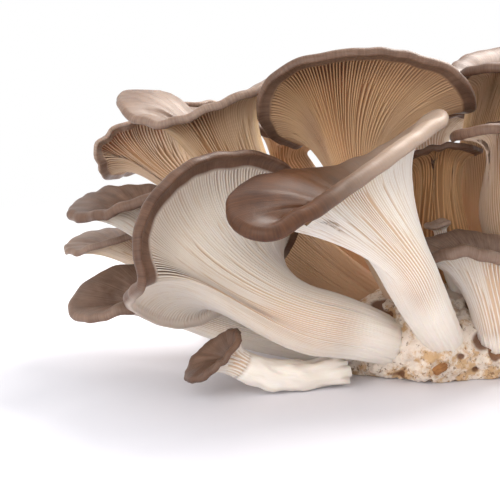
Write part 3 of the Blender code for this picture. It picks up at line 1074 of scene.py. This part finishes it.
class FleshFinish(Finish):
    """Grey-brown fibrous skin over the cap, cream gills with painted brown shade between them, and a pale
    stem.
    """

    def __init__(self, m, looks):
        super().__init__(m.name + "_flesh")
        self.m, self.looks = m, looks
        self.grain, self.place = self.fact("grain", "Vector"), self.here()
        self.stem, self.groove, self.skin, self.rim = (self.fact(name) for name in FACTS)
        self.cloud = self.noise(self.place, 55.0, 2.0)
        self.blotch = self.noise(self.place, 260.0, 3.0)
        self.fibres = self.streaks(26.0, 5.0, 2.2)
        self.stem_fibres = self.streaks(22.0, 4.0, 2.4)
        # below 0, paleness darkens the skin: painted shade
        self.dark = mixed(looks.skin_dark, looks.skin_pale, 0.75 * m.pallor)

    def streaks(self, across, along, scale, detail=4.0, rough=0.6):
        """Noise drawn out along the mushroom, from its root to the middle of its cap."""
        return self.noise(self.stretched(self.grain, (across, across, along)), scale, detail, rough)

    def skin_tone(self):
        """The cap's skin: cloudy and fibrous, darker at the margin, and paler beyond pale_from."""
        pale = mixed(self.looks.skin_pale, PALE_SKIN, 0.8 * self.m.pallor)
        paleness = 1.1 * self.fibres + 1.2 * self.cloud + 0.6 * self.blotch - 1.05
        tone = self.mix(paleness.held(), self.dark, pale)
        tone = self.mix(self.step(self.rim, 0.2, 1.0) * 0.3, tone, self.dark)
        start = self.m.pale_from * MM
        far = self.step(self.part(self.place, 0), start, start + TIP_FADE * MM)
        return self.mix(far * 0.75, tone, mixed(self.looks.skin_pale, PALE_TIP, 0.45))

    def gill_tone(self):
        """The gills with painted brown shade between them, random streaks, and painted shade in the gaps
        between the gills and on the gills under the margin.
        """
        # painted light: the glow of light shining through the flesh is painted into the gills' colours
        warmth, warm = self.m.warmth, self.looks.backlight_colour
        # painted shade: some gills are darkened towards brown
        gill = mixed(mixed(self.looks.gill_colour, GILL_SHADE_BROWN, self.m.tan), warm, 0.85 * warmth)
        # painted shade: the brown between the gills
        between = mixed(self.looks.groove_shade_and_stain, warm, 0.8 * warmth)
        between = tuple(c * (1 - 0.4 * warmth) for c in between)
        threads = self.streaks(70.0, 3.0, 2.0, 2.0, 0.55)
        # painted shade: the grooves between the gills are painted brown, with random threads
        tone = self.mix((self.groove * 0.95 + (threads - 0.5) * 0.5).held(), gill, between)
        streak = self.streaks(34.0, 5.0, 2.6, 3.0)
        tone = self.mix(self.step(streak, 0.5, 0.72) * 0.55, tone, between)
        # painted shade: the gaps between the gills darken towards the margin, and the gills themselves
        # darken under it
        gap = self.step(self.rim, 0.0, 0.8) * self.groove
        tone = self.mix(gap * 0.85, tone, mixed(between, self.dark, 0.85))
        rim_shade = self.step(self.rim, 0.0, 1.0) * (0.35 + 0.6 * self.cloud)
        return self.mix(rim_shade * 0.7, tone, mixed(gill, self.dark, 0.6))

    def stem_tone(self):
        """The stem: pale fibres with a few stains."""
        # painted light: the glow of light shining through the flesh is painted into the stem's colour
        stalk = mixed(self.looks.stem_colour, self.looks.backlight_colour, self.m.warmth)
        stain = self.noise(self.place, 70.0, 3.0)
        darkness = (1.3 * self.stem_fibres + 0.7 * stain - 0.72).held() * 0.7
        return self.mix(darkness, stalk, mixed(stalk, self.looks.groove_shade_and_stain, 0.6))

    def flesh_tone(self):
        """Gills and stem. The painted glow of light through the flesh turns cooler where the flesh faces
        the back, as no light is painted shining through there.
        """
        tone = self.mix(self.step(self.stem, 0.05, 0.9), self.gill_tone(), self.stem_tone())
        normal = self.node("NewGeometry", None, "Normal")
        to_back = self.step(self.part(normal, 1), -0.1, 0.6)
        # where the flesh faces the back, the painted glow gives way to the plain gill colours, with
        # painted shade between the gills
        unlit = self.mix(self.groove * 0.8, tuple(self.looks.gill_colour), tuple(self.looks.groove_shade_and_stain))
        return self.mix(to_back * 0.7 * self.m.warmth, tone, unlit)

    def made(self):
        self.feed(Base_Color=self.mix(self.skin, self.flesh_tone(), self.skin_tone()))
        self.feed(Roughness=0.62 - 0.2 * self.skin + 0.12 * (self.blotch - 0.5))
        grit = self.noise(self.place, 1500.0, 2.0)
        under = self.stem_fibres * (1 - self.skin) * self.stem
        self.bump(self.fibres * self.skin * 0.6 + under + grit * 0.25, 0.00035, 0.45)
        self.feed(
            Subsurface_Weight=self.looks.light_through,
            Subsurface_Radius=(1.0, 0.55, 0.3),
            Subsurface_Scale=0.004,
            Specular_IOR_Level=0.25,
        )
        return self.material


# Pits in the clump: degrees round it, degrees up it and mm across
PITS = [(-98, 14, 3.4), (-88, 4, 3.0), (-118, 22, 3.0), (-60, 10, 2.6), (-75, 26, 3.6), (-140, 8, 2.6)]
PIT_DEPTH = 1.8  # in parts of the pit's size
CLUMP_ROWS = 190
CLUMP_COLUMNS = 420
STAYS_SMOOTH = -2  # height in mm below which the clump has no crumbs


def clump_point(way):
    """Where the clump's surface lies in direction way from its centre, in mm."""
    turn = Matrix.Rotation(math.radians(CLUMP_TURN), 3, "Z")
    spot = turn @ Vector(w * r for w, r in zip(way, CLUMP_RADII, strict=True))
    lump = CLUMP_LUMP * noise.noise(spot / CLUMP_LUMP_SIZE)
    return spot + turn @ way * lump + Vector(CLUMP_CENTRE)


def towards(around, up):
    """The direction this many degrees round the clump and up it."""
    a, e = math.radians(around), math.radians(up)
    return Vector((math.cos(e) * math.cos(a), math.cos(e) * math.sin(a), math.sin(e)))


def grains(spot, size, share):
    """Round grains of this size in mm, as heights from 0 to 1."""
    return (1 - min(1.0, noise.voronoi(spot / size)[0][0] * share)) ** 0.5


def crumbled(spot, way, looks):
    """A point of the clump pushed out by crumbs and lumps, and how deep it lies in a hollow, 0 to 1."""
    coarse = noise.fractal(spot / 11.0, 1.0, 2.1, 3)
    patch = noise.noise(spot / 17.0 + Vector((3, 8, 1)))
    rough = min(1.0, max(0.0, 0.55 + 1.2 * patch))
    crumbs = 2.4 * grains(spot, 5.2, 1.6) + 1.3 * grains(spot, 2.1, 1.5) - 1.7
    push = looks.crumb * (1.6 * coarse + rough * crumbs)
    hollow = max(0.0, noise.noise(spot / 6.5 + Vector((9, 2, 5))) - 0.28) * 3
    hollow = min(1.0, hollow)
    return spot + way * (push - 2.6 * hollow), hollow


def grid_mesh(name, points, rows, facts):
    """A closed skin of rows rings, first and last being points, with its unrolled map."""
    skin = Skin()
    for row in range(1, rows):
        named = {key: values[row] for key, values in facts.items()}
        skin.ring(points[row], row / rows, **named)
    for row, height in ((0, 0.0), (rows, 1.0)):
        named = {key: values[row][0] for key, values in facts.items()}
        skin.close(points[row].mean(0), height, below=row == 0, **named)
    return skin.made(name)


def clump_place(way, pits, looks):
    """The clump's finished surface in direction way, with its pits, and how deep it lies in one."""
    spot = clump_point(way)
    if spot.z <= STAYS_SMOOTH:
        return Vector((spot.x, spot.y, 0.0)), 0.0
    made, deep = crumbled(spot, way, looks)
    for middle, size in pits:
        away = (spot - middle).length / size
        if away < 2:
            sink = max(0.0, 1 - (away / 1.5) ** 2)
            made -= way * PIT_DEPTH * size * sink
            deep = max(deep, sink)
    made.z = max(made.z, 0.0)
    return made, deep


def clump(looks):
    """The crumbly mound of mycelium that the stems grow from."""
    pits = [(clump_point(towards(around, up)), size) for around, up, size in PITS]
    points, hollows = [], []
    for row in range(CLUMP_ROWS + 1):
        up = -90 + 180 * row / CLUMP_ROWS
        ways = [towards(360 * k / CLUMP_COLUMNS, up) for k in range(CLUMP_COLUMNS)]
        ring = [clump_place(way, pits, looks) for way in ways]
        points.append(np.array([place for place, _ in ring]))
        hollows.append(np.array([deep for _, deep in ring]))
    flat = [np.zeros(CLUMP_COLUMNS)] * (CLUMP_ROWS + 1)
    made = grid_mesh("mycelium", points, CLUMP_ROWS, dict(stem=flat, groove=hollows, skin=flat, rim=flat))
    made.data.materials.append(mycelium_material(looks))
    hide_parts("mycelium_clump")


def mycelium_material(looks):
    """Cream and ochre, with brown specks of the wood it fed on."""
    made = Finish("mycelium", 0.85)
    place, pit = made.here(), made.fact("groove")
    cloud = made.noise(place, 60.0, 3.0)
    low = 1 - made.step(made.part(place, 2), 0.003, 0.016)
    ochre = made.step(made.noise(place, 150.0, 5.0, 0.7) + 0.5 * (cloud - 0.5) + 0.07 * low, 0.50, 0.64)
    tone = made.mix(ochre * 0.85, tuple(looks.clump_colour), tuple(looks.ochre_colour))
    speck = made.step(made.noise(place, 520.0, 4.0, 0.7) + 0.04 * low, 0.58, 0.66)
    tone = made.mix(speck * 0.75, tone, tuple(looks.speck_colour))
    # painted shade: darker brown in the pits and hollows
    made.feed(Base_Color=made.mix(made.step(pit, 0.05, 0.5) * 0.9, tone, PIT_SHADE))
    made.bump(made.noise(place, 900.0, 5.0, 0.75), 0.0009, 0.9)
    made.feed(Subsurface_Weight=0.15, Subsurface_Radius=(1.0, 0.6, 0.35), Subsurface_Scale=0.002)
    return made.material


# Flakes of wood: degrees round the clump, and half the length, width and height in mm
CHIPS = {
    "wood_chip_front": (242, (4.6, 2.6, 1.9)),
    "wood_chip_front_right": (272, (3.6, 2.0, 1.6)),
    "wood_chip_right": (12, (4.2, 2.4, 1.7)),
    "wood_chip_back": (62, (4.0, 2.2, 1.6)),
}
CHIP_ROWS = 22
CHIP_COLUMNS = 64
CHIP_TILT = 35
CHIP_RIDGES = 0.20  # height of the ridges, in parts of the flake's radius
CHIP_TEARS = 0.24  # depth of the splinters at its ends, in parts of half its length


def wood_chip(name, looks):
    """A torn flake of wood, with ridges along its grain and splintered ends."""
    low, high = (np.array(corner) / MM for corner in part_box(name))
    around, (half_length, half_width, half_height) = CHIPS[name]
    random = np.random.default_rng(around)
    rows, columns = CHIP_ROWS, CHIP_COLUMNS
    middle = (low + high) / 2
    a = 2 * np.pi * np.arange(columns) / columns
    ridges = 1 + ripples(random, columns, range(3, 28), CHIP_RIDGES)
    ends = [1 + ripples(random, columns, range(2, 18), CHIP_TEARS) for _ in range(2)]
    turn = math.radians(around)
    forward = np.array([math.cos(turn), math.sin(turn), 0])
    tilt = math.radians(CHIP_TILT)
    side = np.array([-math.sin(turn), math.cos(turn), 0]) * math.cos(tilt) + UP * math.sin(tilt)
    top = np.cross(forward, side)
    points, groove = [], []
    for row in range(rows + 1):
        t = -1 + 2 * row / rows
        full = (1 - abs(t) ** 3.5) ** 0.45 * (1 + 0.16 * noise.noise(Vector((around, 5 * t, 0))))
        along = t * half_length * (ends[1] if t > 0 else ends[0]) ** (abs(t) ** 2)
        squared = 1 / (np.abs(np.cos(a)) ** 3 + np.abs(np.sin(a)) ** 3) ** (1 / 3)
        radius = full * ridges * squared * 0.92
        ring = middle + np.outer(along, forward)
        ring = ring + np.outer(radius * np.cos(a) * half_width, side)
        ring = ring + np.outer(radius * np.sin(a) * half_height, top)
        points.append(ring)
        # how deep each point lies between the ridges, for the painted shade there
        groove.append(np.clip(2.5 * (1.05 - ridges), 0, 1))
    flat = [np.zeros(columns)] * (rows + 1)
    facts = dict(stem=flat, groove=groove, skin=flat, rim=flat)
    made = grid_mesh(name + "_flake", points, rows, facts)
    wood = Finish(name, 0.75)
    grain = wood.noise(wood.stretched(wood.fact("grain", "Vector"), (14.0, 14.0, 1.5)), 2.0, 4.0, 0.6)
    tone = wood.mix(grain, tuple(looks.wood_grain_and_shade), tuple(looks.wood_colour))
    # painted shade: darker in the grooves between the ridges
    wood.feed(Base_Color=wood.mix(wood.fact("groove") * 0.5, tone, tuple(looks.wood_grain_and_shade)))
    wood.bump(grain, 0.0003, 0.7)
    made.data.materials.append(wood.material)
    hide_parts(name)


def number(name, description, default, low, high, subtype="NONE"):
    return bpy.props.FloatProperty(
        name=name, description=description, default=default, min=low, max=high, subtype=subtype
    )


def colour(name, description, default):
    return bpy.props.FloatVectorProperty(
        name=name, description=description, default=default, subtype="COLOR", size=3, min=0, max=1
    )


class OysterFleshLooks(bpy.types.PropertyGroup):
    gill_spacing: number("Gill spacing", "Times the usual distance between gills", 1.0, 0.5, 3)
    gill_depth: number("Gill depth", "Depth of the gills in millimetres", 2.8, 0.2, 4)
    light_through: number("Light through", "How much light passes through the flesh", 0.28, 0, 1)
    skin_dark: colour("Skin", "The cap's skin where it is darkest", (0.082, 0.043, 0.028))
    skin_pale: colour("Pale skin", "The cap's skin where it is palest", (0.27, 0.168, 0.118))
    gill_colour: colour("Gills", "The edges of the gills", (0.84, 0.755, 0.675))
    # painted shade between the gills; also the colour of the stem's stains
    groove_shade_and_stain: colour("Between gills", "The flesh between the gills", (0.60, 0.42, 0.29))
    stem_colour: colour("Stem", "The stem's flesh", (0.88, 0.81, 0.73))
    # painted light: the colour of the glow of light shining through the flesh
    backlight_colour: colour("Warm flesh", "Flesh that light shines through", (0.62, 0.30, 0.10))


class OysterClumpLooks(bpy.types.PropertyGroup):
    crumb: number("Crumbs", "Height of the crumbs in millimetres", 1.0, 0, 3)
    clump_colour: colour("Mycelium", "The mycelium", (0.83, 0.71, 0.60))
    ochre_colour: colour("Ochre", "The mycelium's older patches", (0.60, 0.36, 0.16))
    speck_colour: colour("Specks", "Specks of wood in the mycelium", (0.22, 0.10, 0.04))
    wood_colour: colour("Wood", "The wood's fresh side", (0.58, 0.27, 0.09))
    # the grain's colour, also painted as shade in the grooves between the ridges
    wood_grain_and_shade: colour("Dark wood", "The wood's grain", (0.22, 0.09, 0.03))


class OysterStageLooks(bpy.types.PropertyGroup):
    floor_colour: colour("Floor", "The floor round the cluster", (0.80, 0.79, 0.84))
    key: number("Key light", "Strength of the light from above and behind", 9.0, 0, 100, "POWER")
    fill: number("Fill light", "Strength of the light from the front", 6.0, 0, 100, "POWER")
    sky: number("Surroundings", "Brightness of the white surroundings", 1.0, 0, 5)


GROUPS = {
    "front": ("large_front_fan", "front_trumpet", "low_front_hook", "right_front_shelf"),
    "left": (
        "upper_left_fan",
        "thin_back_left_fan",
        "left_shelf",
        "small_left_shelf",
        "low_left_scoop",
    ),
    "upper": (
        "top_centre_fan",
        "upper_right_funnel",
        "top_right_funnel",
        "inner_centre_fan",
        "inner_back_fan",
    ),
    "right": ("front_right_fan", "large_right_fan", "low_right_fan", "right_back_fan"),
    "back": (
        "upper_back_right_fan",
        "low_back_right_fan",
        "back_fan",
        "low_back_fan",
        "upper_back_fan",
        "back_left_fan",
        "low_back_left_fan",
    ),
    "young": ("young_centre", "young_front", "young_right"),
}


def make_group(group, context):
    known = {m.name: m for m in MUSHROOMS}
    for name in GROUPS[group]:
        mushroom(known[name], context.scene.oyster_flesh)
    return {"FINISHED"}


class OYSTER_OT_front(bpy.types.Operator):
    """Makes the mushrooms at the front"""

    bl_idname = "oyster.front"
    bl_label = "Front mushrooms"

    def execute(self, context):
        return make_group("front", context)


class OYSTER_OT_left(bpy.types.Operator):
    """Makes the mushrooms at the left"""

    bl_idname = "oyster.left"
    bl_label = "Left mushrooms"

    def execute(self, context):
        return make_group("left", context)


class OYSTER_OT_upper(bpy.types.Operator):
    """Makes the mushrooms at the top and inside"""

    bl_idname = "oyster.upper"
    bl_label = "Upper mushrooms"

    def execute(self, context):
        return make_group("upper", context)


class OYSTER_OT_right(bpy.types.Operator):
    """Makes the mushrooms at the right"""

    bl_idname = "oyster.right"
    bl_label = "Right mushrooms"

    def execute(self, context):
        return make_group("right", context)


class OYSTER_OT_back(bpy.types.Operator):
    """Makes the mushrooms at the back"""

    bl_idname = "oyster.back"
    bl_label = "Back mushrooms"

    def execute(self, context):
        return make_group("back", context)


class OYSTER_OT_young(bpy.types.Operator):
    """Makes the young mushrooms"""

    bl_idname = "oyster.young"
    bl_label = "Young mushrooms"

    def execute(self, context):
        return make_group("young", context)


class OYSTER_OT_clump(bpy.types.Operator):
    """Makes the clump of mycelium"""

    bl_idname = "oyster.clump"
    bl_label = "Clump"

    def execute(self, context):
        clump(context.scene.oyster_clump)
        return {"FINISHED"}


class OYSTER_OT_wood(bpy.types.Operator):
    """Makes the flakes of wood stuck to the clump"""

    bl_idname = "oyster.wood"
    bl_label = "Wood flakes"

    def execute(self, context):
        for name in CHIPS:
            wood_chip(name, context.scene.oyster_clump)
        return {"FINISHED"}


def soft_light(name, place, size, power, tint):
    lamp = bpy.data.lights.new(name, "AREA")
    lamp.size = size
    lamp.energy = power
    lamp.color = tint
    held = bpy.data.objects.new(name, lamp)
    held.location = place
    held.rotation_euler = (Vector(LIT_POINT) - Vector(place)).to_track_quat("-Z", "Y").to_euler()
    bpy.context.scene.collection.objects.link(held)


class OYSTER_OT_stage(bpy.types.Operator):
    """Makes the floor, the lights, the surroundings and the camera"""

    bl_idname = "oyster.stage"
    bl_label = "Stage"

    def execute(self, context):
        looks = context.scene.oyster_stage
        half = FLOOR_HALF
        corners = [(-half, -half, 0), (half, -half, 0), (half, half, 0), (-half, half, 0)]
        mesh = bpy.data.meshes.new("floor")
        mesh.from_pydata(corners, [], [(0, 1, 2, 3)])
        floor = bpy.data.objects.new("floor", mesh)
        floor.location.z = -FLOOR_DROP
        bpy.context.scene.collection.objects.link(floor)
        finish = Finish("floor", 0.55)
        away = finish.node("VectorMath", {"operation": "LENGTH"}, 1, _0=finish.here())
        # painted light: the floor is paler with distance, then glows white
        pale = finish.step(away, *FLOOR_PALES)
        finish.feed(Base_Color=finish.mix(pale, tuple(looks.floor_colour), FAR_FLOOR))
        glow = finish.node("Emission", None, 0, Color=WHITE, Strength=1.0)
        plain = Shade(finish.tree, finish.shader.outputs[0])
        both = finish.node("MixShader", None, 0, _0=finish.step(away, *FLOOR_GLOWS), _1=plain, _2=glow)
        put(finish.tree, finish.tree.nodes["Material Output"].inputs["Surface"], both)
        mesh.materials.append(finish.material)

        world = bpy.data.worlds.new("surroundings")
        world.use_nodes = True
        sky = world.node_tree.nodes["Background"]
        sky.inputs["Color"].default_value = (*WHITE, 1.0)
        sky.inputs["Strength"].default_value = looks.sky
        context.scene.world = world
        soft_light("key", KEY_PLACE, KEY_SIZE, looks.key, KEY_TINT)
        soft_light("fill", FILL_PLACE, FILL_SIZE, looks.fill, WHITE)

        camera = bpy.data.cameras.new("camera")
        camera.lens = LENS
        camera.sensor_width = SENSOR
        camera.clip_start = 0.01
        held = bpy.data.objects.new("camera", camera)
        rise = math.radians(CAMERA_RISE)
        back = Vector((0, -math.cos(rise), math.sin(rise)))
        held.location = (Vector(CAMERA_AIM) + back * CAMERA_DISTANCE) * MM
        held.rotation_euler = (math.radians(90 - CAMERA_RISE), 0, 0)
        context.scene.collection.objects.link(held)
        context.scene.camera = held
        context.scene.view_settings.view_transform = "Standard"
        return {"FINISHED"}


class OYSTER_PT_cluster(bpy.types.Panel):
    bl_label = "Oyster mushroom cluster"
    bl_idname = "OYSTER_PT_cluster"
    bl_space_type = "VIEW_3D"
    bl_region_type = "UI"
    bl_category = "Mushrooms"

    def draw(self, context):
        for group in ("oyster_flesh", "oyster_clump", "oyster_stage"):
            looks = getattr(context.scene, group)
            box = self.layout.box()
            for name in looks.__annotations__:
                box.prop(looks, name)
        for operator in OPERATORS:
            self.layout.operator(operator.bl_idname)


OPERATORS = (
    OYSTER_OT_clump,
    OYSTER_OT_wood,
    OYSTER_OT_front,
    OYSTER_OT_left,
    OYSTER_OT_upper,
    OYSTER_OT_right,
    OYSTER_OT_back,
    OYSTER_OT_young,
    OYSTER_OT_stage,
)
SETTINGS = {
    "oyster_flesh": OysterFleshLooks,
    "oyster_clump": OysterClumpLooks,
    "oyster_stage": OysterStageLooks,
}
CLASSES = (*SETTINGS.values(), *OPERATORS, OYSTER_PT_cluster)


def register():
    for each in CLASSES:
        bpy.utils.register_class(each)
    for name, group in SETTINGS.items():
        setattr(bpy.types.Scene, name, bpy.props.PointerProperty(type=group))


def unregister():
    for name in SETTINGS:
        delattr(bpy.types.Scene, name)
    for each in reversed(CLASSES):
        bpy.utils.unregister_class(each)


def main():
    register()
    bpy.ops.oyster.clump()
    bpy.ops.oyster.wood()
    bpy.ops.oyster.front()
    bpy.ops.oyster.left()
    bpy.ops.oyster.upper()
    bpy.ops.oyster.right()
    bpy.ops.oyster.back()
    bpy.ops.oyster.young()
    bpy.ops.oyster.stage()


if __name__ == "__main__":
    main()
